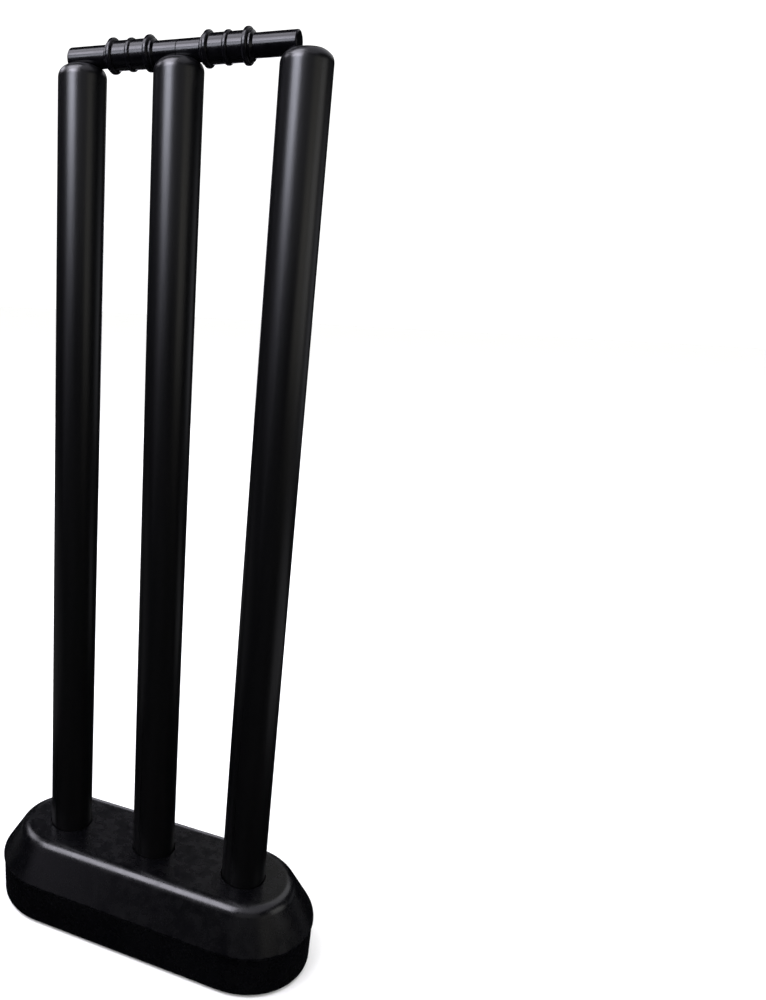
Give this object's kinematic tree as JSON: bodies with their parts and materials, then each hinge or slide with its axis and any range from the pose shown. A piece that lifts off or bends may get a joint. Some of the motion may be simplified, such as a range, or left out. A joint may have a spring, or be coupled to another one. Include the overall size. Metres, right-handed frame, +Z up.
{
  "type": "cricket stumps",
  "caption": "Free-standing cricket wicket: round stumps with grooved tops in the sockets of a weighted stadium-shaped base, with turned bails lying across them.",
  "frame": {"origin": "on the ground, under the middle of the base", "axes": "+Z up along the stumps, +X along the line of the stumps from the left stump to the right one, +Y from the bowler-facing side away to the back"},
  "size_m": [0.294, 0.1216, 0.7281],
  "materials": {
    "base_shell": "satin moulded black",
    "stump": "satin extruded black",
    "bail": "semi-gloss moulded black",
    "ballast": "as cast, dark",
    "screw": "zinc plated",
    "foot_pad": "matt black"
  },
  "bodies": {
    "base": {"base_cover": "base_shell", "base_tray": "base_shell", "ballast_plate": "ballast", "base_screw_1": "screw", "base_screw_2": "screw", "base_screw_3": "screw", "base_screw_4": "screw", "base_screw_5": "screw", "base_screw_6": "screw", "foot_pad_1": "foot_pad", "foot_pad_2": "foot_pad", "foot_pad_3": "foot_pad", "foot_pad_4": "foot_pad"},
    "stump_middle": {"stump_middle_plug": "stump", "stump_middle_tube": "stump", "stump_middle_cap": "stump"},
    "stump_left": {"stump_left_plug": "stump", "stump_left_tube": "stump", "stump_left_cap": "stump"},
    "stump_right": {"stump_right_plug": "stump", "stump_right_tube": "stump", "stump_right_cap": "stump"},
    "bail_left": {"bail_left": "bail"},
    "bail_right": {"bail_right": "bail"}
  },
  "joints": [
    {"name": "stump_middle_pull", "type": "slide", "parent": "base", "child": "stump_middle", "axis": [-0.0075, 0, 1], "range_m": [0, 0.06]},
    {"name": "stump_left_pull", "type": "slide", "parent": "base", "child": "stump_left", "axis": [0.0007, 0, 1], "range_m": [0, 0.06]},
    {"name": "stump_right_pull", "type": "slide", "parent": "base", "child": "stump_right", "axis": [0.0072, 0, 1], "range_m": [0, 0.06]},
    {"name": "bail_left_lift", "type": "slide", "parent": "stump_left", "child": "bail_left", "axis": [0, 0, 1], "range_m": [0, 0.05]},
    {"name": "bail_right_lift", "type": "slide", "parent": "stump_right", "child": "bail_right", "axis": [0, 0, 1], "range_m": [0, 0.05]}
  ],
  "couplings": [
    {"joint": "stump_left_pull", "follows": "stump_middle_pull", "ratio": 1},
    {"joint": "stump_right_pull", "follows": "stump_middle_pull", "ratio": 1}
  ]
}
